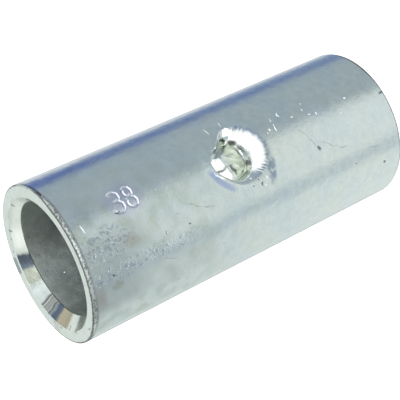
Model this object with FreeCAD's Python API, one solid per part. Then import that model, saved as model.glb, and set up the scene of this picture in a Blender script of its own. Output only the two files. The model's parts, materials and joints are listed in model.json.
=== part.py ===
import FreeCAD, Part
import math
import os

# Butt splice connector: a short tube of tinned copper that joins two stranded conductors end to end.
# It is one piece. The tube stands on one end, with its axis along Z and the origin in the middle of
# the lower end. Each end is countersunk, to lead the strands in. Half way up, a punch has driven the
# wall in from the front (-Y). That leaves a round dimple outside, with a wide rounded lip and a
# slightly raised floor. Inside it leaves a rounded stop on a low swelling of the wall, where both
# conductors end.

# Tube, in millimetres
BORE_DIAMETER = 9.4
WALL = 1.95
LENGTH = 31.5
COUNTERSINK_WIDTH = 0.9
COUNTERSINK_ANGLE = 52.0
EDGE_BREAK = 0.06

# Dimple, measured from the crest of the outer wall, and the metal left beyond it
DIMPLE_SHAFT_DIAMETER = 4.1
DIMPLE_SIDE_SLOPE = 75.0
DIMPLE_LIP_RADIUS = 1.15
DIMPLE_FLOOR_DEPTH = 1.3
DIMPLE_FLOOR_CROWN_RADIUS = 4.0
DIMPLE_GROOVE_RADIUS = 0.3
DIMPLE_SKIN = 1.3

# Stop and swelling inside, measured from the wall of the wire bores
STOP_HEIGHT = 1.0
STOP_CROWN_RADIUS = 7.0
STOP_CORNER_RADIUS = 1.2
STOP_ROOT_RADIUS = 0.4
SWELL_HEIGHT = 0.36
SWELL_MARGIN = 0.3
SWELL_RAMP_LENGTH = 1.2

# Sizes that follow from those above
BORE_RADIUS = BORE_DIAMETER / 2
OUTER_RADIUS = BORE_RADIUS + WALL
MOUTH_RADIUS = BORE_RADIUS + COUNTERSINK_WIDTH
COUNTERSINK_DEPTH = COUNTERSINK_WIDTH / math.tan(math.radians(COUNTERSINK_ANGLE))
MIDDLE = LENGTH / 2
SLOPE = math.radians(DIMPLE_SIDE_SLOPE)
SWELL_RADIUS = BORE_RADIUS - SWELL_HEIGHT / 2
SWELL_SHIFT = SWELL_HEIGHT / 2

ON_SURFACE = 0.001
NODE = "splice_barrel"


def vector(x, y, z):
    return FreeCAD.Vector(x, y, z)


def punch_radius(depth, grow):
    """The radius of the punch's side at a depth below the crest, with the punch grown all over."""
    return DIMPLE_SHAFT_DIAMETER / 2 - depth / math.tan(SLOPE) + grow / math.sin(SLOPE)


def punch_side(grow, depth):
    """The tapered side of the punch, grown all over by this much, down to a depth below the crest."""
    above = -WALL
    top = vector(0, -OUTER_RADIUS + above, MIDDLE)
    wide, narrow = punch_radius(above, grow), punch_radius(depth, grow)
    return Part.makeCone(wide, narrow, depth - above, top, vector(0, 1, 0))


def ball(radius, depth):
    """A ball with its middle at a depth below the crest."""
    return Part.makeSphere(radius, vector(0, -OUTER_RADIUS + depth, MIDDLE))


def round_nose(punch, radius):
    nose = max(circles_of(punch), key=lambda edge: edge.Curve.Center.y)
    return punch.makeFillet(radius, [nose])


def dimple_form():
    """The space inside the dimple: its floor rises in the middle, and a round groove runs about it."""
    floor = ball(DIMPLE_FLOOR_CROWN_RADIUS, DIMPLE_FLOOR_DEPTH + DIMPLE_FLOOR_CROWN_RADIUS)
    return round_nose(punch_side(0, 2 * WALL).cut(floor), DIMPLE_GROOVE_RADIUS)


def stop_form():
    """The metal that the punch has pushed in: wider than the punch by the skin, with a crowned end."""
    depth = WALL + STOP_HEIGHT
    crown = ball(STOP_CROWN_RADIUS, depth - STOP_CROWN_RADIUS)
    return round_nose(punch_side(DIMPLE_SKIN, depth).common(crown), STOP_CORNER_RADIUS)


def circles_of(solid):
    return [edge for edge in solid.Edges if isinstance(edge.Curve, Part.Circle)]


def middle_of(edge):
    return edge.valueAt((edge.FirstParameter + edge.LastParameter) / 2)


def front_edges(solid, radius, shift):
    """The edges around the dimple or the stop that lie on an upright round wall.

    The wall has this radius, and its axis is shifted back by this much.
    """
    found = []
    for edge in solid.Edges:
        point = middle_of(edge)
        off_wall = math.hypot(point.x, point.y - shift) - radius
        near = abs(point.z - MIDDLE) < swell_half_length() and point.y < -SWELL_SHIFT
        if near and abs(off_wall) < ON_SURFACE:
            found.append(edge)
    return found


def swell_half_length():
    """Half the length of the swelling at its full height: it reaches past the root of the stop."""
    root_depth = WALL + SWELL_HEIGHT
    return punch_radius(root_depth, DIMPLE_SKIN) + STOP_ROOT_RADIUS + SWELL_MARGIN


def wire_bore(end, inward):
    """The space in one end of the tube: a countersink, a wire bore and a ramp up to the swelling."""
    mouth = vector(0, 0, end)
    axis = vector(0, 0, inward)
    ramp_top = MIDDLE - inward * swell_half_length()
    ramp_foot = ramp_top - inward * SWELL_RAMP_LENGTH
    countersink = Part.makeCone(MOUTH_RADIUS, BORE_RADIUS, COUNTERSINK_DEPTH, mouth, axis)
    bore = Part.makeCylinder(BORE_RADIUS, abs(ramp_foot - end), mouth, axis)
    foot = Part.Wire(Part.makeCircle(BORE_RADIUS, vector(0, 0, ramp_foot)))
    top = Part.Wire(Part.makeCircle(SWELL_RADIUS, vector(0, SWELL_SHIFT, ramp_top)))
    ramp = Part.makeLoft([foot, top], True, True)
    return countersink.fuse(bore).fuse(ramp)


def swell_bore():
    """The narrower, eccentric space between the two ramps."""
    half = swell_half_length()
    return Part.makeCylinder(SWELL_RADIUS, 2 * half, vector(0, SWELL_SHIFT, MIDDLE - half))


def tube():
    """The tube with its end edges broken, both ends bored and the swelling left between them."""
    blank = Part.makeCylinder(OUTER_RADIUS, LENGTH)
    blank = blank.makeFillet(EDGE_BREAK, circles_of(blank))
    space = swell_bore().fuse(wire_bore(0, 1)).fuse(wire_bore(LENGTH, -1))
    return blank.cut(space)


def add_stop(body):
    """The rounded stop that the punch has raised inside, with a blended root."""
    wall_middle = Part.makeCylinder(OUTER_RADIUS - WALL / 2, LENGTH)
    joined = body.fuse(stop_form().common(wall_middle))
    return joined.makeFillet(STOP_ROOT_RADIUS, front_edges(joined, SWELL_RADIUS, SWELL_SHIFT))


def press_dimple(body):
    """The dimple that the punch has left outside, with its lip drawn in."""
    pressed = body.cut(dimple_form())
    return pressed.makeFillet(DIMPLE_LIP_RADIUS, front_edges(pressed, OUTER_RADIUS, 0))


def splice_barrel():
    solids = press_dimple(add_stop(tube())).Solids
    if len(solids) != 1 or not solids[0].isValid():
        raise ValueError("the barrel is not one sound solid")
    return solids[0]


os.makedirs("parts", exist_ok=True)
barrel = splice_barrel()
barrel.exportStep(f"parts/{NODE}.step")
print(f"{NODE}: {barrel.Volume:.2f} mm3")
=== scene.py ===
import json
import math

import bpy
import numpy as np
from mathutils import Euler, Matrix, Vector


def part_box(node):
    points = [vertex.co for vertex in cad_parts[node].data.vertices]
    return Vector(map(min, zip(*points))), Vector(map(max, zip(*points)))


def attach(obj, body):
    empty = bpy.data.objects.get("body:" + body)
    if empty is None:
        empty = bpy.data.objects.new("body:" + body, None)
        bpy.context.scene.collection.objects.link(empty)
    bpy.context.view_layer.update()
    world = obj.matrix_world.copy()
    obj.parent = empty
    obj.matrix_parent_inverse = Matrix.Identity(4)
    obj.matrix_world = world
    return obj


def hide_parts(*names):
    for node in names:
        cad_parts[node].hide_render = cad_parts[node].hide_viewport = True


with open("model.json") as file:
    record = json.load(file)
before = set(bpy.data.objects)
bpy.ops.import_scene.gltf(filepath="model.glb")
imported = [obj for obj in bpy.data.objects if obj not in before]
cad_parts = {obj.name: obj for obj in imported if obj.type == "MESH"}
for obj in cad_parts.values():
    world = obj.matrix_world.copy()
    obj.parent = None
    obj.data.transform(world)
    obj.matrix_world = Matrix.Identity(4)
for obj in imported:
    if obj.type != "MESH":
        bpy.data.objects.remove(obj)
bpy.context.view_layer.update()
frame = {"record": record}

# Places on the barrel are given the way the photograph shows them. s is the distance in millimetres
# along the barrel from its upper end, and a is the angle in degrees round it, from the line that
# faces the camera, growing towards the bottom of the picture.
NODE = "splice_barrel"
MM = 0.001
FACING = -104.0

low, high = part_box(NODE)
OUTER = (high.x - low.x) / 2 / MM
LENGTH = (high.z - low.z) / MM
MIDDLE = LENGTH / 2
MOUNTS = {mount["name"]: mount for mount in frame["record"]["mounts"]}
BORE = MOUNTS["upper_wire_bore"]["dims"]["r_mm"]
COUNTERSINK_WIDTH = 0.9
MOUTH = BORE + COUNTERSINK_WIDTH
CREASE = 0.015

# The outer edges are barely broken, but on one side of the upper end the edge is rolled over. The
# roll starts, is full, begins to fade and ends at these angles a.
EDGE_BREAK = 0.06
EDGE_ROLL = 0.24
ROLL_WAYS = (-50, -30, 45, 80)

# The bore's edge, where the countersink ends, is a little off centre. Its radius is least at this
# angle a, or at minus that angle in the lower end, and the wall comes back to size this far in.
BORE_EDGE = 4.86
BORE_OFF = 0.20
BORE_OFF_WAY = 120
BORE_TAPER = 2.4

# Dimple outside and stop inside, in millimetres, close to the solid's. The dimple is a little nearer
# to the upper end. Groove, corner and root are the heights over which two surfaces run together.
PUNCH_SLOPE = math.radians(75)
PUNCH_OFF = 0.3
GROOVE = 0.3
STOP_RADIUS = 2.05
STOP_DEPTH = 2.95
STOP_CROWN = 7.0
STOP_CORNER = 1.0
SKIN = 1.3
ROOT = 0.3
SWELL = 0.36
SWELL_HALF = 3.48
SWELL_RAMP = 1.2

# The dimple's outline by the direction from its middle: 0 is towards the lower end of the barrel and
# 90 towards the bottom of the picture. It gives the radius of the shaft and of the lip's rounding, and
# the height of the stretch marks.
LIP_WAYS = [0, 45, 90, 110, 135, 165, 190, 215, 240, 262, 280, 300, 330, 360]
SHAFT_RADII = [1.95, 1.95, 1.95, 1.95, 1.95, 2.10, 2.10, 1.75, 1.55, 1.72, 1.88, 1.95, 1.95, 1.95]
LIP_RADII = [2.10, 1.90, 1.30, 0.95, 0.70, 0.48, 0.35, 0.35, 0.40, 0.80, 1.40, 1.90, 2.05, 2.10]
MARK_HEIGHTS = [
    0.006, 0.006, 0.005, 0.003, 0.001, 0.001, 0.001, 0.001, 0.001, 0.002, 0.005, 0.006, 0.006, 0.006,
]

# The shallow bevel around the lip, by the direction too: where it starts, how high its outer step is
# and how steep it is further in
BEVEL_WAYS = [0, 90, 105, 120, 140, 158, 172, 190, 215, 240, 262, 280, 300, 360]
BEVEL_RADII = [2.2, 2.5, 2.65, 2.75, 2.8, 2.85, 2.85, 2.8, 3.0, 3.1, 3.0, 2.8, 2.5, 2.2]
BEVEL_STEPS = [0, 0, 0.03, 0.06, 0.065, 0.05, 0.02, 0, 0, 0, 0, 0, 0, 0]
BEVEL_SLOPES = [0, 0.04, 0.05, 0.05, 0.05, 0.05, 0.07, 0.10, 0.14, 0.14, 0.14, 0.08, 0, 0]
BEVEL_STEP_WIDTH = 0.45
BEVEL_BLEND = 0.03

# The stretch marks are ripples that rise between the first two distances from the dimple's middle and
# fade between the last two. To the ripple, MARK_DEGREES round the dimple count as one, and a
# millimetre away from its middle counts as MARK_STRETCH.
MARK_START, MARK_FULL, MARK_FADING, MARK_END = 1.9, 2.5, 2.9, 3.5
MARK_DEGREES = 4.5
MARK_STRETCH = 0.4
MARK_WAVE, MARK_SEED = 0.9, 5
DIMPLE_REACH = 4

# A ripple is a sum of this many waves. Each is as long as the ripple's size times a number in this
# range.
RIPPLE_WAVES = 28
RIPPLE_RANGE = (0.7, 1.5)

# The small flats of the dimple's floor: a place in millimetres from its middle, towards the lower
# end and towards the bottom of the picture, its depth, and how fast it deepens each way
FLATS = [
    (-0.75, -0.10, 1.18, -0.40, 0.02),
    (-0.30, 0.95, 1.32, -0.42, 0.16),
    (-0.30, -0.90, 1.26, -0.20, -0.42),
    (-0.05, -0.30, 1.14, 0.09, 0.05),
    (-0.05, 0.20, 1.14, 0.12, 0.14),
    (0.50, 1.00, 1.36, 0.10, 0.40),
    (0.70, -0.80, 1.28, 0.10, 0.06),
    (1.10, 0.10, 1.29, 0.12, 0.09),
]
FLAT_BLEND = 0.02
FLOOR_RIPPLE, FLOOR_WAVE, FLOOR_SEED = 0.006, 0.5, 8

# The punched number, as strokes in millimetres from its middle: along the barrel and round it. A
# stroke is cut as far as the half width from its line, and its bottom is flat over a share of that.
DIGIT_STROKES = [
    [(-1.20, -0.80), (-0.95, -1.02), (-0.55, -1.02), (-0.28, -0.76), (-0.28, -0.32), (-0.55, -0.06),
     (-0.85, -0.06)],
    [(-0.55, -0.06), (-0.22, 0.24), (-0.22, 0.70), (-0.52, 1.02), (-0.95, 1.02), (-1.22, 0.78)],
    [(0.68, -0.04), (0.36, -0.20), (0.28, -0.55), (0.40, -0.90), (0.68, -1.02), (0.96, -0.90), (1.08, -0.55),
     (1.00, -0.20), (0.68, -0.04), (0.30, 0.16), (0.18, 0.52), (0.32, 0.88), (0.68, 1.02), (1.04, 0.88),
     (1.18, 0.52), (1.06, 0.16), (0.68, -0.04)],
]
DIGITS_AT = (5.2, -17.8)
DIGITS_LOW, DIGITS_HIGH = 24.8, 27.8
DIGIT_HALF_WIDTH = 0.15
DIGIT_FLAT_SHARE = 0.3
DIGIT_DEPTH = 0.075
DIGIT_SCALE = 0.84

# Steps of the mesh, in millimetres and in degrees of a: fine at the dimple and the number, wider
# elsewhere
FINE_STEP = 0.055
DIMPLE_ROWS_HALF = 3.4
STOP_ROWS_HALF = 5
COLUMN_STOPS = [(-48, 3.0), (-40, 1.0), (18, 0.5), (26, 1.0), (180, 3.0)]

# Pits, scratches and bright nicks on the outside are ovals on its unrolled surface: s, a, half the
# size along and round in millimetres, and the turn in degrees. Scratches are given by their two ends,
# each s and a.
PITS = [
    (7.25, 13.5, 0.15, 0.06, 70), (9.4, 15, 0.08, 0.06, 0), (4.3, -11, 0.24, 0.11, 20),
    (23.0, 6.4, 0.20, 0.15, 60), (29.6, 39, 0.16, 0.11, 0), (31.25, -11, 0.22, 0.14, 0),
    (2.1, 24, 0.09, 0.07, 0), (5.6, 22, 0.10, 0.06, 40), (26.4, 30, 0.07, 0.05, 0), (12.1, 40, 0.07, 0.05, 0),
    (16.55, 8.0, 0.11, 0.07, 60), (15.92, 10.3, 0.10, 0.05, 40), (16.74, 12.3, 0.14, 0.05, 95),
    (28, -165, 0.15, 0.10, 20),
]
SCRATCHES = [
    (9.6, 1.6, 10.9, 8.5), (10.9, 8.5, 12.0, 11.7), (22.0, -11, 22.5, -3), (22.5, -3, 22.9, 5),
    (23.4, 3, 24.6, 10), (24.6, 10, 26.0, 15), (8.6, 5.0, 8.9, 5.5), (28.0, 22, 29.0, 24), (6.4, 30, 7.6, 33),
    (5, 120, 8, 126), (18, 150, 21, 147), (24, -120, 25.5, -112), (12, -150, 13, -140), (27, 100, 29, 104),
    (9, -100, 10.5, -96),
]
SCRATCH_HALF_WIDTH = 0.05
GLINTS = [
    (27.68, -18.7, 0.13, 0.13, 80), (26.49, -9.3, 0.16, 0.045, 110), (23.68, -28.6, 0.07, 0.07, 63),
    (24.37, -17, 0.19, 0.07, 83), (23.74, -18.4, 0.17, 0.05, 15), (23.4, -23.7, 0.16, 0.05, 104),
    (22.16, -21.9, 0.16, 0.06, 14), (21.12, -27.6, 0.24, 0.05, 65), (21.12, -28.4, 0.24, 0.05, 119),
    (20.24, -26.1, 0.19, 0.035, 95), (20.14, -18.9, 0.28, 0.07, 94), (19.61, -19.8, 0.15, 0.07, 93),
    (19.3, -18.3, 0.08, 0.06, 103), (16.84, 4.6, 0.09, 0.04, 70), (17.31, 3.6, 0.10, 0.035, 95),
    (1.15, -11, 0.34, 0.05, 83), (14.85, -39.2, 0.41, 0.04, 81), (16.28, -40.9, 0.35, 0.03, 101),
    (17.31, 9.2, 0.13, 0.04, 100), (7.95, -14.7, 0.05, 0.05, 75), (16.98, 13.9, 0.12, 0.035, 85),
    (16.12, 4.2, 0.07, 0.04, 40), (19.06, -3.7, 0.12, 0.03, 111), (20.22, -21.8, 0.19, 0.035, 92),
]
# The one bright fleck in the bore, by s and a, and half its size each way
FLECK_AT = (2.82, 166)
FLECK_HALF = (0.05, 0.06)

# Bright burrs on the dimple's lip, and last the white patch where its crescent starts, as a place from
# the dimple's middle, half the size each way and the turn
RIM_GLINTS = [
    (-2.25, 0.84, 0.29, 0.06, 61),
    (-1.9, 1.24, 0.35, 0.06, 45),
    (-0.09, -1.9, 0.47, 0.05, 125),
    (0.58, 2.14, 0.08, 0.08, 101),
    (0.49, 1.78, 0.19, 0.05, 46),
    (0.86, -1.98, 0.52, 0.42, -62),
]

# Painted shadows in the dimple's gaps, creases and corners, and painted shade on its floor, with how dark
# each is at the end
DIMPLE_SHADOWS = [
    (0.40, -1.72, 0.30, 0.11, 20, 0.97),
    (1.12, -1.33, 0.40, 0.17, 36, 0.95),
    (1.50, 0.75, 0.16, 0.24, 10, 0.6),
    (1.72, 0.10, 0.09, 0.60, -5, 0.2),
    (1.32, -0.70, 0.16, 0.65, -28, 0.2),
    (1.54, -0.30, 0.24, 0.62, -10, 0.45),
    (1.42, 0.58, 0.10, 0.36, 22, 0.6),
    (0.30, -0.40, 0.55, 0.06, 35, 0.35),
    (0.10, 0.70, 0.16, 0.42, -10, 0.75),
    (-1.45, 0.37, 1.10, 0.13, -3, 0.8),
    (-0.20, -1.20, 0.60, 0.42, 20, 0.35),
    (1.02, 0.58, 0.24, 0.34, 0, 0.28),
]

# Painted cream highlights on the yellowish half of the dimple's floor
CREAM_HIGHLIGHTS = [
    (1.0, -0.6, 0.36, 0.17, 48),
    (0.53, 0.46, 0.22, 0.12, 60),
    (0.52, -0.2, 0.34, 0.2, 35),
]

# Dark specks on the upper end, mostly along the inner edge of its ring, as x, y, half sizes and turn
END_SPECKS = [
    (5.59, 0.10, 0.14, 0.10, 0), (4.61, 3.26, 0.10, 0.17, -30), (4.23, 3.94, 0.07, 0.10, 0),
    (3.41, 4.83, 0.10, 0.15, 60), (4.66, -2.62, 0.26, 0.09, 60), (-2.44, 4.99, 0.13, 0.10, 0),
    (-3.27, 4.75, 0.18, 0.09, 30), (-4.12, 4.09, 0.16, 0.09, 45), (-4.67, 2.79, 0.12, 0.09, 0),
    (-5.34, 1.84, 0.22, 0.09, 60), (-6.08, -0.98, 0.09, 0.28, -10), (-1.60, 5.42, 0.10, 0.07, 0),
]

# Stains on the outside, then painted sheens: a pale halo of painted highlight by the dimple and a violet
# painted reflection over the number. Each is s, a, half sizes, turn, how soft the edge is, how strong the
# colour is, and the colour
STAINS = [
    (2.2, 32.5, 0.5, 0.32, 0, 0.4, 0.3, (0.26, 0.26, 0.16, 1)),
    (4.4, 8.5, 0.65, 0.5, 0, 0.5, 0.3, (0.45, 0.36, 0.27, 1)),
    (0.65, 36, 0.5, 1.0, 0, 0.6, 0.4, (0.34, 0.26, 0.23, 1)),
]
PAINTED_SHEENS = [
    (13.0, -17, 0.45, 1.5, 12, 0.7, 0.5, (0.84, 0.93, 0.94, 1)),
    (*DIGITS_AT, 1.5, 1.3, 0, 0.4, 0.5, (0.72, 0.70, 0.92, 1)),
]


def smoothstep(x, start, end):
    t = np.clip((x - start) / (end - start), 0, 1)
    return t * t * (3 - 2 * t)


def smooth_max(first, second, width):
    """The larger of two heights, with the crease between them rounded over this much height."""
    h = np.clip(1 - np.abs(first - second) / width, 0, 1)
    return np.maximum(first, second) + h * h * width / 4


def smooth_min(first, second, width):
    return -smooth_max(-first, -second, width)


def ripple(points, size, seed):
    """Smooth noise of about unit height, with waves of about this size in all directions."""
    rng = np.random.default_rng(seed)
    direction = rng.normal(size=(RIPPLE_WAVES, 3))
    direction /= np.linalg.norm(direction, axis=1)[:, None]
    number = 2 * math.pi / (size * rng.uniform(*RIPPLE_RANGE, RIPPLE_WAVES))
    phase = rng.uniform(0, 2 * math.pi, RIPPLE_WAVES)
    total = np.zeros(points.shape[:-1])
    for way, k, start in zip(direction, number, phase):
        total += np.cos(k * (points @ way) + start)
    return total / math.sqrt(RIPPLE_WAVES / 2)


def graded(start, stops):
    """Rising values from start on, each stop being an end and the step up to it."""
    values = [start]
    for end, step in stops:
        count = max(1, round((end - values[-1]) / step))
        values += list(np.linspace(values[-1], end, count + 1)[1:])
    return np.array(values)


def on_barrel(angle, radius, z):
    """Points at angle a in degrees, radius and height, all in arrays that fit together."""
    azimuth = np.radians(FACING - angle)
    x, y, z = np.broadcast_arrays(radius * np.cos(azimuth), radius * np.sin(azimuth), z)
    return np.stack([x, y, z], axis=-1)


def dimple_wall(across, way):
    """How far the dimple's lip and steep side lie below the round wall, that far from its middle."""
    lip = np.interp(way, LIP_WAYS, LIP_RADII)
    outside = np.interp(way, LIP_WAYS, SHAFT_RADII) + lip * math.tan(PUNCH_SLOPE / 2)
    inside = outside - lip * math.sin(PUNCH_SLOPE)
    reach = np.clip(outside - across, 0, outside - inside)
    rounded = lip - np.sqrt(lip**2 - reach**2)
    steep = rounded + np.maximum(inside - across, 0) * math.tan(PUNCH_SLOPE)
    start = np.interp(way, BEVEL_WAYS, BEVEL_RADII)
    past_step = 1 - smoothstep(across, start - BEVEL_STEP_WIDTH, start)
    bevel = np.interp(way, BEVEL_WAYS, BEVEL_STEPS) * past_step
    bevel += np.interp(way, BEVEL_WAYS, BEVEL_SLOPES) * np.maximum(start - across, 0)
    return smooth_max(steep, bevel, BEVEL_BLEND) - BEVEL_BLEND / 4


def dimple_floor(along, sideways):
    """The depth of the dimple's uneven, slightly raised floor, as a dome of small flats."""
    floor = None
    for at_along, at_side, depth, fall_along, fall_side in FLATS:
        flat = depth + fall_along * (along - at_along) + fall_side * (sideways - at_side)
        floor = flat if floor is None else smooth_max(floor, flat, FLAT_BLEND)
    return floor


def digit_cut(angle, z):
    """How deep the punched number is cut at places on the outside."""
    along = (LENGTH - z - DIGITS_AT[0]) / DIGIT_SCALE
    down = np.radians(angle - DIGITS_AT[1]) * OUTER / DIGIT_SCALE
    nearest = np.full(np.broadcast(along, down).shape, np.inf)
    for stroke in DIGIT_STROKES:
        for (x0, y0), (x1, y1) in zip(stroke, stroke[1:]):
            dx, dy = x1 - x0, y1 - y0
            part = np.clip(((along - x0) * dx + (down - y0) * dy) / (dx * dx + dy * dy), 0, 1)
            nearest = np.minimum(nearest, np.hypot(along - x0 - part * dx, down - y0 - part * dy))
    flat = DIGIT_HALF_WIDTH * DIGIT_FLAT_SHARE
    return DIGIT_DEPTH * (1 - smoothstep(nearest, flat, DIGIT_HALF_WIDTH))


def outer_wall(angle, z):
    """The outside, with the dimple pressed in and the number punched."""
    radius = np.minimum(edge_radius(angle, LENGTH - z, 1), edge_radius(angle, z, -1))
    points = on_barrel(angle, radius - digit_cut(angle, z), z)
    y = points[..., 1]
    along, sideways = MIDDLE - points[..., 2] + PUNCH_OFF, -points[..., 0]
    across = np.hypot(along, sideways)
    way = np.degrees(np.arctan2(sideways, along)) % 360
    marks_at = np.stack([way / MARK_DEGREES, across * MARK_STRETCH, 0 * way], -1)
    marks = ripple(marks_at, MARK_WAVE, MARK_SEED) * smoothstep(across, MARK_START, MARK_FULL)
    marks = marks * (1 - smoothstep(across, MARK_FADING, MARK_END))
    wall = y + dimple_wall(across, way) + np.interp(way, LIP_WAYS, MARK_HEIGHTS) * marks
    floor = dimple_floor(along, sideways) + FLOOR_RIPPLE * ripple(points, FLOOR_WAVE, FLOOR_SEED)
    pressed = smooth_min(wall, floor - OUTER, GROOVE)
    near = (y < 0) & (across < DIMPLE_REACH)
    points[..., 1] = np.where(near, pressed, y)
    return points


def inner_wall(angle, z):
    """The wire bores, the swelling between them and the stop on it."""
    off = np.abs(z - MIDDLE)
    rise = 1 - np.clip((off - SWELL_HALF) / SWELL_RAMP, 0, 1)
    points = on_barrel(angle, BORE - rise * SWELL / 2, z)
    points[..., 1] += rise * SWELL / 2
    across = np.hypot(points[..., 0], points[..., 2] - MIDDLE)
    crown = STOP_DEPTH - STOP_CROWN + np.sqrt(np.maximum(STOP_CROWN**2 - across**2, 0.01))
    side = (STOP_RADIUS + SKIN / math.sin(PUNCH_SLOPE) - across) * math.tan(PUNCH_SLOPE)
    stop = smooth_min(side, crown, STOP_CORNER) - OUTER
    raised = smooth_max(points[..., 1], stop, ROOT)
    points[..., 1] = np.where(points[..., 1] < 0, raised, points[..., 1])
    return points


def edge_break(angle, up):
    """The rounding of the outer edge, which is larger on one side of the upper end."""
    start, full, fading, end = ROLL_WAYS
    side = smoothstep(angle, start, full) * (1 - smoothstep(angle, fading, end))
    return EDGE_BREAK + (up > 0) * EDGE_ROLL * side


def edge_radius(angle, depth, up):
    """The outside's radius at a depth from the upper end, or from the lower one where up is -1."""
    rounding = edge_break(angle, up)
    rest = np.maximum(rounding - depth, 0)
    return OUTER - rounding + np.sqrt(rounding**2 - rest**2)


def end_rows(angle, z, up):
    """An end from outside to inside: the rounded edge, the flat ring and the countersink.

    up is 1 at the upper end and -1 at the lower one.
    """
    rows = []
    for turn in (30, 60, 90):
        depth = EDGE_BREAK * (1 - math.sin(math.radians(turn)))
        rows.append(on_barrel(angle, edge_radius(angle, depth, up), z - up * depth))
    ring_edge = OUTER - edge_break(angle, up)
    for radius in [ring_edge - CREASE, (ring_edge + MOUTH) / 2, MOUTH + CREASE, MOUTH]:
        rows.append(on_barrel(angle, radius, z))
    foot = BORE_EDGE - BORE_OFF * np.cos(np.radians(angle - BORE_OFF_WAY * up))
    near = CREASE / (MOUTH - BORE)
    for part in [near, 0.2, 0.4, 0.6, 0.8, 1 - near, 1]:
        depth = part * (MOUTH - foot)
        rows.append(on_barrel(angle, MOUTH - depth, z - up * depth))
    rows.append(on_barrel(angle, foot, z - up * (MOUTH - foot + CREASE)))
    return rows


def columns():
    """The angles a of the mesh's columns: close together over the number and the dimple."""
    return graded(-180, COLUMN_STOPS)[:-1]


def outer_heights():
    """The heights of the mesh's rows on the outside: close together at the dimple and the number."""
    stops = [
        (EDGE_BREAK + CREASE, CREASE),
        (MIDDLE - DIMPLE_ROWS_HALF, 0.4),
        (MIDDLE + DIMPLE_ROWS_HALF, FINE_STEP),
        (DIGITS_LOW, 0.3),
        (DIGITS_HIGH, FINE_STEP),
        (LENGTH - 0.5, 0.3),
        (LENGTH - EDGE_BREAK - CREASE, 0.04),
        (LENGTH - EDGE_BREAK, CREASE),
    ]
    return graded(EDGE_BREAK, stops)


def inner_heights():
    """The heights of the mesh's rows inside: closer together at the stop."""
    stops = [
        (MIDDLE - STOP_ROWS_HALF, 0.9),
        (MIDDLE + STOP_ROWS_HALF, 0.3),
        (LENGTH - BORE_TAPER, 0.7),
    ]
    return graded(BORE_TAPER, stops)


def barrel_mesh():
    """The whole skin as one closed loop of rows, each row going once round the barrel."""
    angle = columns()
    rows = [outer_wall(angle, z) for z in outer_heights()]
    rows += end_rows(angle, LENGTH, 1)
    rows += [inner_wall(angle, z) for z in inner_heights()[::-1]]
    rows += end_rows(angle, 0, -1)[::-1]
    grid = np.array(rows)
    row_count, column_count = grid.shape[:2]
    row, here = np.meshgrid(np.arange(row_count), np.arange(column_count), indexing="ij")
    first, second = row * column_count, (row + 1) % row_count * column_count
    beside = (here + 1) % column_count
    quads = np.stack([first + here, second + here, second + beside, first + beside], -1)
    mesh = bpy.data.meshes.new("barrel")
    mesh.from_pydata((grid.reshape(-1, 3) * MM).tolist(), [], quads.reshape(-1, 4).tolist())
    mesh.polygons.foreach_set("use_smooth", [True] * len(mesh.polygons))
    mesh.validate()
    return mesh


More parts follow.
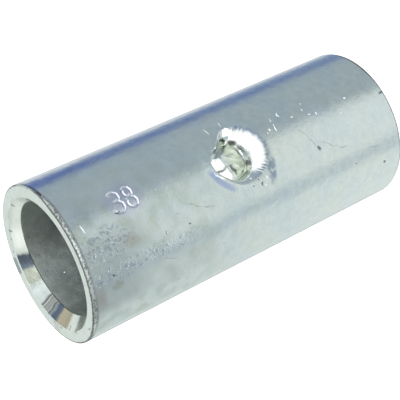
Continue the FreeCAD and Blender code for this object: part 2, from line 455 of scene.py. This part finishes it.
class Nodes:
    """A small helper that adds nodes to one node tree and joins them."""

    def __init__(self, tree):
        self.tree = tree
        self.tree.nodes.clear()

    def feed(self, socket, value):
        """Joins another node's socket to this one, or sets a plain value."""
        if isinstance(value, bpy.types.NodeSocket):
            self.tree.links.new(value, socket)
        else:
            socket.default_value = value

    def add(self, kind, inputs=(), **settings):
        node = self.tree.nodes.new(kind)
        for name, value in settings.items():
            setattr(node, name, value)
        for name, value in dict(inputs).items():
            self.feed(node.inputs[name], value)
        return node

    def math(self, operation, *values):
        return self.add("ShaderNodeMath", enumerate(values), operation=operation).outputs[0]

    def times(self, first, second):
        return self.math("MULTIPLY", first, second)

    def distance(self, value, place):
        """How far a value is from a place, either way."""
        return self.math("ABSOLUTE", self.math("SUBTRACT", value, place))

    def mix(self, factor, first, second, blend="MIX"):
        node = self.add("ShaderNodeMix", data_type="RGBA", blend_type=blend)
        for index, value in zip((0, 6, 7), (factor, first, second)):
            self.feed(node.inputs[index], value)
        return node.outputs[2]

    def step(self, value, start, end):
        """0 below start and 1 above end, smooth between; the other way round when start is larger."""
        inputs = {0: value, 1: start, 2: end}
        return self.add("ShaderNodeMapRange", inputs, interpolation_type="SMOOTHSTEP").outputs[0]

    def window(self, value, start, full, fading, end):
        """1 from full to fading, and 0 outside start and end."""
        return self.times(self.step(value, start, full), self.step(value, end, fading))

    def vector(self, operation, first, second):
        return self.add("ShaderNodeVectorMath", {0: first, 1: second}, operation=operation).outputs[0]

    def length(self, vector):
        return self.add("ShaderNodeVectorMath", {0: vector}, operation="LENGTH").outputs["Value"]

    def combine(self, inputs):
        return self.add("ShaderNodeCombineXYZ", inputs).outputs[0]

    def noise(self, place, scale, detail, output="Fac"):
        """Cloudy noise between about 0.3 and 0.7, with scale waves to a millimetre."""
        inputs = {"Vector": place, "Scale": scale, "Detail": detail}
        return self.add("ShaderNodeTexNoise", inputs).outputs[output]

    def oval(self, place, centre, half, turn, soft):
        """1 inside an oval in the plane of place and 0 outside, with an edge this soft."""
        inputs = {"Vector": place, "Location": (*centre, 0), "Scale": (*half, 1)}
        inputs["Rotation"] = (0, 0, math.radians(turn))
        mapped = self.add("ShaderNodeMapping", inputs, vector_type="TEXTURE").outputs[0]
        return self.step(self.length(mapped), 1 + soft, 1 - soft)

    def ovals(self, place, marks, soft):
        """All of these marks on the outside together."""
        found = None
        for s, a, half_along, half_round, turn in marks:
            mark = self.oval(place, (s, around(a)), (half_along, half_round), turn, soft)
            found = mark if found is None else self.math("MAXIMUM", found, mark)
        return found

    def stops(self, value, stops):
        """A colour ramp through these values, each with its colour."""
        node = self.add("ShaderNodeValToRGB", {0: value})
        ramp = node.color_ramp
        while len(ramp.elements) < len(stops):
            ramp.elements.new(1.0)
        for element, (at, colour) in zip(ramp.elements, stops):
            element.position = at
            element.color = colour
        return node.outputs[0]


def around(a):
    """The distance in millimetres round the outside for an angle a in degrees."""
    return math.radians(a) * OUTER


def scratch_oval(s0, a0, s1, a1):
    """The thin oval that a scratch between two places fills."""
    along, down = s1 - s0, around(a1 - a0)
    half = math.hypot(along, down) / 2
    turn = math.degrees(math.atan2(down, along))
    return (s0 + s1) / 2, (a0 + a1) / 2, half, SCRATCH_HALF_WIDTH, turn


# Radii, and distances from the nearer end, in millimetres, between which one part of the barrel gives
# way to the next. PAST_CONE is for the sum of both, which is MOUTH all over the countersink.
OUTSIDE_FROM = (OUTER - 0.09, OUTER - 0.05)
END_WITHIN = (OUTER - 0.06, OUTER - 0.1)
END_UP_TO = (1.1, 1.0)
CONE_FROM = (0.005, 0.02)
PAST_CONE = (MOUTH + 0.02, MOUTH + 0.10)
MOUTH_WITHIN = (5.12, 5.08)
MOUTH_UP_TO = (3.2, 2.8)
BORE_WITHIN = (4.84, 4.76)
BORE_FROM = (1.2, 1.6)
SUNK_WITHIN = (OUTER - 0.2, OUTER - 0.5)
SUNK_FROM = (8, 9)

# The height of the tin's small bumps in millimetres
BUMP_HEIGHT = 0.025

# The tin outside, clean and marked
COOL_TIN = (0.785, 0.835, 0.845, 1)
WARM_TIN = (0.81, 0.84, 0.81, 1)
CLOUD_GREY = (0.60, 0.655, 0.59, 1)
CLOUD_WHITE = (0.86, 0.89, 0.90, 1)
DULL_TIN = (0.53, 0.57, 0.58, 1)
SPECKLE = (0.28, 0.34, 0.40, 1)
EDGE_DIRT = (0.20, 0.17, 0.16, 1)
PIT = (0.10, 0.12, 0.13, 1)
SCRATCH = (0.25, 0.28, 0.27, 1)

# The dimple
ARC_BLUE = (0.36, 0.42, 0.72, 1)
LIP_BLUE = (0.24, 0.30, 0.43, 1)
FLOOR_YELLOW = (0.74, 0.80, 0.60, 1)
CREAM_HIGHLIGHT = (1.0, 1.0, 0.9, 1)
SHADOW_DARK = (0.04, 0.045, 0.04, 1)

# The ends and the bore
RING = (0.65, 0.69, 0.67, 1)
MOUTH_SHADE = (0.40, 0.44, 0.41, 1)
END_SPECK = (0.13, 0.15, 0.13, 1)
ROLLED_EDGE_SHADE = (0.25, 0.28, 0.28, 1)
EDGE_LINE_SHADE = (0.08, 0.085, 0.085, 1)
BORE_NEAR = (0.34, 0.375, 0.355, 1)
BORE_FAR = (0.60, 0.64, 0.65, 1)
BORE_LIT = (0.66, 0.725, 0.71, 1)

# The countersink's colour by the angle a from 0 to 360 degrees: painted reflections, dark bands and turned
# lines among them, with bare copper in the bronze stretch
PALE = (0.62, 0.67, 0.63, 1)
WHITE = (0.70, 0.74, 0.70, 1)
DIM = (0.47, 0.51, 0.47, 1)
FROST = (0.53, 0.585, 0.58, 1)
YELLOW = (0.17, 0.185, 0.155, 1)
GREY = (0.27, 0.29, 0.27, 1)
DARK = (0.07, 0.08, 0.09, 1)
SILVER = (0.25, 0.29, 0.30, 1)
BRONZE = (0.345, 0.32, 0.24, 1)
SLATE = (0.08, 0.11, 0.15, 1)
BLUE = (0.06, 0.075, 0.095, 1)
CONE_REFLECTIONS_AND_COPPER = [
    (0, PALE), (72, PALE), (80, GREY), (94, GREY), (98, WHITE), (109, WHITE), (113, BRONZE), (127, BRONZE),
    (130, SLATE), (135, SLATE), (138.5, SILVER), (141, DARK), (142.5, DIM), (144, DARK), (145.5, DIM),
    (147, DARK), (149, DIM), (150.5, DARK), (153, FROST), (164, FROST), (172, YELLOW), (183, YELLOW),
    (186, BLUE), (197, BLUE), (200, DIM), (206, PALE), (230, WHITE), (262, WHITE), (270, PALE),
]


class Tin(Nodes):
    """The nodes of the tin. The functions below keep its places, masks and colour so far on it.

    In their steps and windows, s, distances and radii are in millimetres and angles in degrees.
    """

    def paint(self, mask, strength, shade):
        """Brings the colour so far nearer to a shade, by the mask and the strength together."""
        self.colour = self.mix(self.times(mask, strength), self.colour, shade)


def find_places(tin):
    """Where a point of the tin is, in the ways that the marks are given."""
    at = tin.add("ShaderNodeTexCoord").outputs["Object"]
    tin.at = tin.add("ShaderNodeVectorMath", {0: at, "Scale": 1 / MM}, operation="SCALE").outputs[0]
    tin.x, tin.y, tin.z = tin.add("ShaderNodeSeparateXYZ", {0: tin.at}).outputs
    tin.s = tin.math("SUBTRACT", LENGTH, tin.z)
    tin.end_s = tin.math("MINIMUM", tin.s, tin.z)
    tin.azimuth = tin.math("DEGREES", tin.math("ARCTAN2", tin.y, tin.x))
    tin.a = tin.math("WRAP", tin.math("SUBTRACT", FACING, tin.azimuth), 180, -180)
    y_squared = tin.times(tin.y, tin.y)
    tin.radius = tin.math("SQRT", tin.math("MULTIPLY_ADD", tin.x, tin.x, y_squared))
    tin.unrolled = tin.combine({0: tin.s, 1: tin.times(tin.a, around(1))})
    wander = tin.vector("SUBTRACT", tin.noise(tin.at, 2.2, 3.0, "Color"), (0.5, 0.5, 0.5))
    tin.wander = tin.vector("MULTIPLY", wander, (0.5, 0.5, 0))
    tin.ragged = tin.vector("ADD", tin.unrolled, tin.wander)


def find_parts(tin):
    """Masks that are 1 on a part of the barrel: the outside, the bore, the ends, the dimple."""
    tin.outside = tin.step(tin.radius, *OUTSIDE_FROM)
    cone_or_more = tin.math("ADD", tin.end_s, tin.radius)
    mouth = tin.times(tin.step(cone_or_more, *PAST_CONE), tin.step(tin.radius, *MOUTH_WITHIN))
    mouth = tin.times(mouth, tin.step(tin.end_s, *MOUTH_UP_TO))
    deep = tin.times(tin.step(tin.radius, *BORE_WITHIN), tin.step(tin.end_s, *BORE_FROM))
    tin.bore = tin.math("MAXIMUM", mouth, deep)
    end = tin.times(tin.step(tin.end_s, *END_UP_TO), tin.step(tin.radius, *END_WITHIN))
    tin.end = tin.times(end, tin.math("SUBTRACT", 1, tin.bore))
    tin.cone = tin.times(tin.end, tin.step(tin.end_s, *CONE_FROM))
    tin.along = tin.math("SUBTRACT", tin.s, LENGTH - MIDDLE - PUNCH_OFF)
    tin.sideways = tin.times(tin.x, -1)
    tin.dimple_at = tin.combine({0: tin.along, 1: tin.sideways})
    sunk = tin.times(tin.step(tin.radius, *SUNK_WITHIN), tin.step(tin.radius, *BORE_WITHIN[::-1]))
    tin.sunk = tin.times(sunk, tin.step(tin.end_s, *SUNK_FROM))


def paint_clouds(tin):
    """Clouds and fine mottling, and the dull, speckled patches near the upper end."""
    a, s = tin.a, tin.s
    cloud = tin.noise(tin.at, 0.35, 2.0)
    tin.mottle = tin.noise(tin.at, 1.6, 5.0)
    tin.grain = tin.noise(tin.at, 7.0, 4.0)
    shade = tin.math("MULTIPLY_ADD", tin.mottle, 0.26, 0.87)
    shade = tin.math("ADD", shade, tin.math("MULTIPLY_ADD", tin.grain, 0.12, -0.06))
    tin.shade = tin.math("ADD", shade, tin.math("MULTIPLY_ADD", cloud, 0.08, -0.04))
    tin.colour = tin.mix(tin.step(cloud, 0.35, 0.65), COOL_TIN, WARM_TIN)
    patchy = tin.noise(tin.at, 0.8, 3.0)
    close = tin.math("MULTIPLY_ADD", tin.window(a, -35, -8, 60, 85), 0.4, 0.25)
    close = tin.times(tin.step(s, 17, 6), close)
    tin.paint(close, tin.step(patchy, 0.46, 0.64), CLOUD_GREY)
    tin.paint(close, tin.step(patchy, 0.52, 0.36), CLOUD_WHITE)
    dull = tin.times(tin.window(a, -10, 9, 42, 56), tin.step(s, 7.5, 2.5))
    further = tin.times(tin.window(a, 20, 29, 44, 56), tin.step(s, 14, 8))
    dull = tin.math("MAXIMUM", dull, tin.times(further, 0.4))
    dull = tin.times(dull, tin.outside)
    tin.paint(dull, 0.95, DULL_TIN)
    speckle = tin.step(tin.noise(tin.at, 3.6, 4.0), 0.50, 0.57)
    patch = tin.oval(tin.ragged, (2.3, around(4)), (2.2, 1.25), 0, 0.35)
    band = tin.window(tin.math("ADD", a, tin.times(tin.mottle, 6)), 20, 23, 28.5, 32)
    band = tin.times(band, tin.window(s, 0.3, 0.9, 6.5, 12))
    rough_band = tin.math("MAXIMUM", patch, band)
    tin.lighter = tin.math("MAXIMUM", patch, tin.times(band, tin.step(s, 7, 1)))
    tin.spotted = tin.times(tin.times(speckle, rough_band), tin.outside)
    tin.paint(tin.spotted, 0.55, SPECKLE)


def paint_patches(tin, patches):
    for s, a, half_along, half_round, turn, soft, strength, shade in patches:
        patch = tin.oval(tin.ragged, (s, around(a)), (half_along, half_round), turn, soft)
        tin.paint(patch, strength, shade)


def paint_lower_edge(tin):
    """The dark line of dirt along the edge of the lower end."""
    nearer = tin.math("MULTIPLY_ADD", tin.window(tin.a, -78, -62, -34, -18), -0.10, tin.z)
    dirt = tin.step(tin.math("MULTIPLY_ADD", tin.grain, 0.1, nearer), 0.20, 0.13)
    dirt = tin.times(tin.times(dirt, tin.outside), tin.window(tin.a, -70, -50, 40, 60))
    tin.paint(dirt, 0.75, EDGE_DIRT)


def paint_marks(tin):
    """Pits and scratches."""
    tin.dents = tin.times(tin.ovals(tin.ragged, PITS, 0.35), tin.outside)
    tin.paint(tin.dents, 0.8, PIT)
    scratches = tin.ovals(tin.ragged, [scratch_oval(*ends) for ends in SCRATCHES], 0.5)
    tin.paint(tin.times(scratches, tin.outside), 0.35, SCRATCH)


def find_glints(tin):
    """Where the tin shines: nicks, specks near the upper end, the bore's fleck and the lip's burrs."""
    glints = tin.times(tin.times(tin.ovals(tin.unrolled, GLINTS, 0.75), tin.outside), 0.85)
    light = tin.step(tin.noise(tin.at, 4.5, 2.0), 0.61, 0.67)
    near_end = tin.times(tin.step(tin.s, 2.4, 0.8), 0.7)
    light = tin.times(light, tin.math("MAXIMUM", tin.lighter, near_end))
    light = tin.times(tin.times(light, tin.window(tin.a, -48, -30, 30, 40)), tin.outside)
    glints = tin.math("MAXIMUM", glints, tin.times(light, 0.3))
    fleck = tin.oval(tin.unrolled, (FLECK_AT[0], around(FLECK_AT[1])), FLECK_HALF, 0, 0.6)
    glints = tin.math("MAXIMUM", glints, tin.times(fleck, tin.bore))
    less = tin.vector("MULTIPLY", tin.wander, (0.8, 0.8, 0))
    tin.dimple_ragged = tin.vector("ADD", tin.dimple_at, less)
    tin.front = tin.step(tin.distance(tin.azimuth, -90), 60, 50)
    lip_top = tin.times(tin.step(tin.radius, OUTER - 0.5, OUTER - 0.4), tin.front)
    for along, sideways, half_along, half_side, turn in RIM_GLINTS:
        edge_mark = tin.oval(tin.dimple_ragged, (along, sideways), (half_along, half_side), turn, 0.4)
        glints = tin.math("MAXIMUM", glints, tin.times(edge_mark, lip_top))
    tin.glints = glints


def paint_dimple(tin):
    """Bluish painted reflection where the lip turns down and a blue-grey patch of painted shade by it,
    yellowish on the lower half with painted cream highlights, and painted shadows in the gaps and corners.
    """
    across = tin.length(tin.dimple_at)
    # Painted reflection: a bluish arc where the lip turns down
    arc = tin.times(tin.step(tin.along, -0.8, -1.7), tin.step(tin.sideways, 0.1, 0.8))
    arc = tin.times(tin.times(arc, tin.window(across, 2.25, 2.5, 2.75, 3.05)), tin.front)
    tin.paint(arc, 0.7, ARC_BLUE)
    # Painted shade: a blotchy blue-grey patch beside the lip
    blue = tin.oval(tin.vector("ADD", tin.dimple_at, tin.wander), (2.61, 2.17), (0.38, 0.95), 20, 0.5)
    blotch = tin.step(tin.noise(tin.at, 3.2, 2.0), 0.42, 0.55)
    blotch = tin.math("MULTIPLY_ADD", blotch, 0.65, 0.35)
    tin.paint(tin.times(tin.times(blue, tin.front), blotch), 0.8, LIP_BLUE)
    yellow = tin.window(tin.along, -0.2, 0.4, 1.2, 1.5)
    yellow = tin.times(yellow, tin.step(tin.radius, OUTER - 1.0, OUTER - 1.12))
    yellow = tin.times(yellow, tin.sunk)
    tin.paint(yellow, 0.8, FLOOR_YELLOW)
    # Painted cream highlights
    for along, sideways, half_along, half_side, turn in CREAM_HIGHLIGHTS:
        cream = tin.oval(tin.dimple_at, (along, sideways), (half_along, half_side), turn, 0.7)
        tin.paint(tin.times(cream, yellow), 0.9, CREAM_HIGHLIGHT)
    # Painted shadows and shade in the dimple's gaps, creases and corners
    for along, sideways, half_along, half_side, turn, dark in DIMPLE_SHADOWS:
        shadow = tin.oval(tin.dimple_ragged, (along, sideways), (half_along, half_side), turn, 0.45)
        shadow = tin.times(tin.times(shadow, tin.sunk), dark)
        tin.colour = tin.mix(shadow, tin.colour, SHADOW_DARK)


def paint_ends(tin):
    """Countersinks in painted reflections and bare copper, and the paler ring, with painted shade along its
    inner edge and its specks.
    """
    tin.full_turn = tin.math("WRAP", tin.a, 360, 0)
    turned = tin.math("ADD", tin.full_turn, tin.math("MULTIPLY_ADD", tin.mottle, 5, -2.5))
    # The countersink's colour round the angle a is painted reflection, with bare copper in the bronze stretch
    reflections_and_copper = tin.stops(tin.math("DIVIDE", turned, 360), [(way / 360, tint) for way, tint in CONE_REFLECTIONS_AND_COPPER])
    tin.colour = tin.mix(tin.cone, tin.colour, reflections_and_copper)
    tin.ring = tin.math("SUBTRACT", tin.end, tin.cone)
    tin.colour = tin.mix(tin.ring, tin.colour, RING)
    # Painted shade along the ring's inner edge, where it meets the countersink
    shade = tin.math("SUBTRACT", tin.radius, MOUTH)
    shade = tin.math("ADD", shade, tin.math("MULTIPLY_ADD", tin.mottle, 0.8, -0.4))
    shade = tin.step(tin.math("ABSOLUTE", shade), 0.3, 0.0)
    shade = tin.times(shade, tin.window(tin.full_turn, 195, 210, 245, 285))
    tin.paint(tin.times(shade, tin.end), 0.4, MOUTH_SHADE)
    specks_at = tin.vector("ADD", tin.combine({0: tin.x, 1: tin.y}), tin.wander)
    for x, y, half_x, half_y, turn in END_SPECKS:
        speck = tin.oval(specks_at, (x, y), (half_x, half_y), turn, 0.5)
        speck = tin.times(tin.times(speck, tin.step(tin.s, 1.0, 0.9)), tin.end)
        tin.paint(speck, 0.7, END_SPECK)


def paint_upper_edge(tin):
    """The upper end's rolled edge, darkened with painted shade, and a dark broken line of painted shade
    inside it; on the ring a bronze streak of bare copper and a slate streak of painted reflection.
    """
    # Painted shade: a dark broken line just inside the edge, with dark scribbles over the rolled band
    line = tin.math("MULTIPLY_ADD", tin.window(tin.a, *ROLL_WAYS), -EDGE_ROLL, OUTER - 0.17)
    line = tin.math("SUBTRACT", tin.radius, tin.math("MULTIPLY_ADD", tin.grain, 0.25, line))
    line = tin.step(tin.math("ABSOLUTE", line), 0.11, 0.07)
    rolled = tin.times(tin.step(tin.radius, OUTER - 0.30, OUTER - 0.24), tin.step(tin.s, 0.42, 0.30))
    tin.rolled = tin.times(rolled, tin.window(tin.a, -48, -34, 45, 75))
    # Painted shade darkens the rolled edge
    tin.paint(tin.rolled, 0.85, ROLLED_EDGE_SHADE)
    scribble = tin.step(tin.noise(tin.at, 5.5, 5.0), 0.50, 0.56)
    edge_mark = tin.math("MAXIMUM", line, tin.times(tin.rolled, tin.times(scribble, 0.85)))
    edge_mark = tin.times(edge_mark, tin.times(tin.window(tin.a, -110, -95, 130, 160), tin.step(tin.s, 0.3, 0.2)))
    broken = tin.math("MAXIMUM", tin.step(tin.a, -62, -50), tin.step(tin.mottle, 0.52, 0.60))
    edge_mark = tin.times(edge_mark, tin.math("MULTIPLY_ADD", broken, 0.5, 0.5))
    tin.paint(edge_mark, 0.9, EDGE_LINE_SHADE)
    streaks = tin.window(tin.full_turn, 123, 125, 131, 133)
    tin.paint(tin.times(tin.ring, streaks), 0.3, BRONZE)
    # Painted reflection: a slate streak on the ring, where the countersink's dark blue band runs on
    outer_ring = tin.times(tin.step(tin.radius, 5.75, 5.95), tin.window(tin.full_turn, 181, 184, 194, 197))
    tin.paint(tin.times(tin.ring, outer_ring), 0.7, SLATE)


def paint_bore(tin):
    """The dull bore, with painted shade and light: darker near its ends, paler deeper in, and a painted pool
    of light where light falls in.
    """
    deeper = tin.mix(tin.step(tin.end_s, 1, 11), BORE_NEAR, BORE_FAR)
    lit = tin.times(tin.window(tin.full_turn, 98, 140, 172, 216), tin.step(tin.end_s, 9, 4))
    deeper = tin.mix(lit, deeper, BORE_LIT)
    tin.colour = tin.mix(tin.bore, tin.colour, deeper)


def roughness(tin):
    rough = tin.math("MULTIPLY_ADD", tin.mottle, 0.16, 0.16)
    for mask, more in [(tin.bore, 0.25), (tin.spotted, 0.1), (tin.rolled, 0.3)]:
        rough = tin.math("ADD", rough, tin.times(mask, more))
    return tin.math("SUBTRACT", rough, tin.times(tin.sunk, 0.1))


def relief(tin):
    """The normal: it leans up at glints, and small bumps and dents bend it, less on the countersink."""
    normal = tin.add("ShaderNodeNewGeometry").outputs["Normal"]
    normal = tin.vector("ADD", normal, tin.combine({2: tin.times(tin.glints, 0.65)}))
    normal = tin.add("ShaderNodeVectorMath", {0: normal}, operation="NORMALIZE").outputs[0]
    height = tin.math("MULTIPLY_ADD", tin.grain, 0.3, tin.mottle)
    dents = tin.math("MAXIMUM", tin.dents, tin.times(tin.spotted, 0.7))
    height = tin.math("SUBTRACT", height, tin.times(dents, 0.6))
    inputs = {"Height": height, "Normal": normal, "Distance": BUMP_HEIGHT * MM}
    inputs["Strength"] = tin.math("MULTIPLY_ADD", tin.cone, -0.8, 1.0)
    return tin.add("ShaderNodeBump", inputs).outputs[0]


def tin_material():
    material = bpy.data.materials.new("tin")
    material.use_nodes = True
    tin = Tin(material.node_tree)
    find_places(tin)
    find_parts(tin)
    paint_clouds(tin)
    paint_patches(tin, STAINS)
    paint_lower_edge(tin)
    # Painted sheens: a pale painted highlight by the dimple and a violet painted reflection over the number
    paint_patches(tin, PAINTED_SHEENS)
    paint_marks(tin)
    find_glints(tin)
    paint_dimple(tin)
    paint_ends(tin)
    paint_upper_edge(tin)
    paint_bore(tin)
    shade = tin.add("ShaderNodeCombineColor", {0: tin.shade, 1: tin.shade, 2: tin.shade}).outputs[0]
    colour = tin.mix(1.0, tin.colour, shade, "MULTIPLY")
    inputs = {"Metallic": 1.0, "Base Color": colour, "Roughness": roughness(tin), "Normal": relief(tin)}
    shader = tin.add("ShaderNodeBsdfPrincipled", inputs)
    output = tin.add("ShaderNodeOutputMaterial")
    tin.tree.links.new(shader.outputs[0], output.inputs[0])
    return material


# The studio that the metal mirrors. Each card is given by the angle a at which the upright wall shows
# its middle, half of its width and the softness of its edge there, and its colour. A short card ends
# between two heights as well, which are the Z of the mirrored direction.
NEAR_PALE = (0.60, 0.67, 0.655, 1)
FAR_PALE = (0.805, 0.875, 0.86, 1)
PALE_HEIGHTS = (-0.36, -0.62)
CARDS = [
    (-37.6, 22.7, 4, (0.38, 0.45, 0.495, 1)),
    (-63.8, 6.8, 3, (0.16, 0.235, 0.43, 1)),
    (-88, 16, 3, (0.81, 0.84, 0.865, 1)),
    (27, 3.8, 3.2, (0.47, 0.565, 0.62, 1)),
    (79, 5, 4.5, (0.74, 0.80, 0.80, 1)),
    (86.5, 6.0, 1.5, (0.42, 0.46, 0.45, 1)),
]
SHORT_CARDS = [
    (-61, 4.5, 3, (-0.47, -0.37), (0.085, 0.14, 0.42, 1)),
    (-70.5, 3.25, 1.25, (-0.42, -0.58), (0.28, 0.38, 0.54, 1)),
]
NADIR = (0.10, 0.09, 0.12, 1)
NADIR_HEIGHTS = (-0.88, -0.97)
SKY = (0.93, 0.985, 0.95, 1)
ZENITH = (1.35, 1.35, 1.35, 1)
FRONT_CARD = (1.35, 1.35, 1.35, 1)
HORIZON_CARD = (0.12, 0.17, 0.33, 1)

# What lights the barrel apart from its reflections, and the white ground that the camera sees
SOFT_LIGHT = (0.8, 0.8, 0.8, 1)
GROUND = (1, 1, 1, 1)


def card(nodes, azimuth, middle, half, soft):
    """1 in the directions that the upright wall mirrors about angle a, and 0 outside."""
    off = nodes.math("MODULO", nodes.math("ADD", azimuth, 540 - FACING + 2 * middle), 360)
    off = nodes.distance(off, 180)
    return nodes.step(off, 2 * (half + soft), 2 * (half - soft))


def build_world():
    world = bpy.data.worlds.new("studio")
    bpy.context.scene.world = world
    world.use_nodes = True
    nodes = Nodes(world.node_tree)
    direction = nodes.add("ShaderNodeTexCoord").outputs["Generated"]
    x, y, z = nodes.add("ShaderNodeSeparateXYZ", {0: direction}).outputs
    azimuth = nodes.math("DEGREES", nodes.math("ARCTAN2", y, x))

    # Below the horizon
    mirrored = nodes.mix(nodes.step(z, *PALE_HEIGHTS), NEAR_PALE, FAR_PALE)
    for middle, half, soft, colour in CARDS:
        mirrored = nodes.mix(card(nodes, azimuth, middle, half, soft), mirrored, colour)
    for middle, half, soft, heights, colour in SHORT_CARDS:
        shown = nodes.times(card(nodes, azimuth, middle, half, soft), nodes.step(z, *heights))
        mirrored = nodes.mix(shown, mirrored, colour)
    mirrored = nodes.mix(nodes.step(z, *NADIR_HEIGHTS), mirrored, NADIR)

    # Above it, with one blue card across it. The horizon itself dips on one side.
    off = nodes.distance(azimuth, FACING + 32)
    level = nodes.math("ABSOLUTE", nodes.math("ADD", z, 0.13))
    blue = nodes.times(nodes.step(off, 20, 8), nodes.step(level, 0.16, 0.06))
    overhead = nodes.math("SUBTRACT", 1, nodes.step(nodes.distance(y, 0.12), 0.1, 0.35))
    sky = nodes.mix(overhead, SKY, ZENITH)
    front = nodes.times(nodes.step(y, -0.1, -0.25), nodes.step(z, 0.9, 0.8))
    sky = nodes.mix(front, sky, FRONT_CARD)
    off = nodes.math("ADD", nodes.math("WRAP", azimuth, 0, -360), 50 - FACING)
    horizon = nodes.times(nodes.step(nodes.math("ABSOLUTE", off), 35, 22), -0.24)
    above = nodes.step(nodes.math("SUBTRACT", z, horizon), 0.0, 0.15)
    mirrored = nodes.mix(above, mirrored, sky)
    mirrored = nodes.mix(blue, mirrored, HORIZON_CARD)

    rays = nodes.add("ShaderNodeLightPath").outputs
    glossy = nodes.math("MAXIMUM", rays["Is Glossy Ray"], rays["Is Transmission Ray"])
    colour = nodes.mix(glossy, SOFT_LIGHT, mirrored)
    colour = nodes.mix(rays["Is Camera Ray"], colour, GROUND)
    background = nodes.add("ShaderNodeBackground", {"Color": colour, "Strength": 1.0})
    output = nodes.add("ShaderNodeOutputWorld")
    world.node_tree.links.new(background.outputs[0], output.inputs[0])


# The ground lies a hair below the barrel. Sizes are in metres.
FLOOR_HALF = 1.5
FLOOR_HEIGHT = -0.00002
PAPER = (0.85, 0.85, 0.85, 1)
PAPER_GLOW = 0.5


def floor_material():
    """White paper that glows a little in the rays that see it."""
    material = bpy.data.materials.new("floor_paper")
    material.use_nodes = True
    nodes = Nodes(material.node_tree)
    paper = nodes.add("ShaderNodeBsdfDiffuse", {"Color": PAPER})
    rays = nodes.add("ShaderNodeLightPath").outputs
    seen = nodes.math("MAXIMUM", rays["Is Camera Ray"], rays["Is Glossy Ray"])
    seen = nodes.math("MAXIMUM", seen, rays["Is Transmission Ray"])
    glow = nodes.add("ShaderNodeEmission", {"Color": GROUND, "Strength": nodes.times(seen, PAPER_GLOW)})
    both = nodes.add("ShaderNodeAddShader", {0: paper.outputs[0], 1: glow.outputs[0]})
    output = nodes.add("ShaderNodeOutputMaterial")
    material.node_tree.links.new(both.outputs[0], output.inputs[0])
    return material


def build_floor():
    mesh = bpy.data.meshes.new("floor")
    half = FLOOR_HALF
    corners = [(-half, -half, 0), (half, -half, 0), (half, half, 0), (-half, half, 0)]
    mesh.from_pydata(corners, [], [(0, 1, 2, 3)])
    mesh.materials.append(floor_material())
    floor = bpy.data.objects.new("floor", mesh)
    bpy.context.scene.collection.objects.link(floor)
    floor.location.z = FLOOR_HEIGHT
    floor.visible_glossy = False


def build_lamp(name, place, size, power):
    """A soft square lamp at a place in millimetres, aimed at the middle of the barrel."""
    data = bpy.data.lights.new(name, "AREA")
    data.size = size * MM
    data.energy = power
    lamp = bpy.data.objects.new(name, data)
    bpy.context.scene.collection.objects.link(lamp)
    lamp.location = Vector(place) * MM
    aim = Vector((0, 0, MIDDLE)) * MM - lamp.location
    lamp.rotation_euler = aim.to_track_quat("-Z", "Y").to_euler()


# The lamp and the camera, which is fitted to the photograph. Places and the lamp's size are in
# millimetres, and the clip start is in metres.
LAMP_PLACE = (-34, -159, 260)
LAMP_SIZE = 120
LAMP_POWER = 0.6
CAMERA_PLACE = (-20.29, -81.45, 63.2)
CAMERA_AIM = (0.393, 3.684, 14.9)
CAMERA_ROLL = -115.2
CAMERA_LENS = 104.14
SENSOR = 36.0
CLIP_START = 0.005


def build_camera():
    data = bpy.data.cameras.new("camera")
    data.lens = CAMERA_LENS
    data.sensor_width = SENSOR
    data.clip_start = CLIP_START
    camera = bpy.data.objects.new("camera", data)
    bpy.context.scene.collection.objects.link(camera)
    place, aim = Vector(CAMERA_PLACE) * MM, Vector(CAMERA_AIM) * MM
    upright = (aim - place).to_track_quat("-Z", "Y")
    roll = Euler((0, 0, math.radians(CAMERA_ROLL))).to_quaternion()
    camera.location = place
    camera.rotation_euler = (upright @ roll).to_euler()
    bpy.context.scene.camera = camera


def build_barrel():
    mesh = barrel_mesh()
    mesh.materials.append(tin_material())
    barrel = bpy.data.objects.new("tinned_barrel", mesh)
    bpy.context.scene.collection.objects.link(barrel)
    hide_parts(NODE)
    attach(barrel, "root")


bpy.context.scene.view_settings.view_transform = "Standard"
build_barrel()
build_world()
build_floor()
build_lamp("key", LAMP_PLACE, LAMP_SIZE, LAMP_POWER)
build_camera()
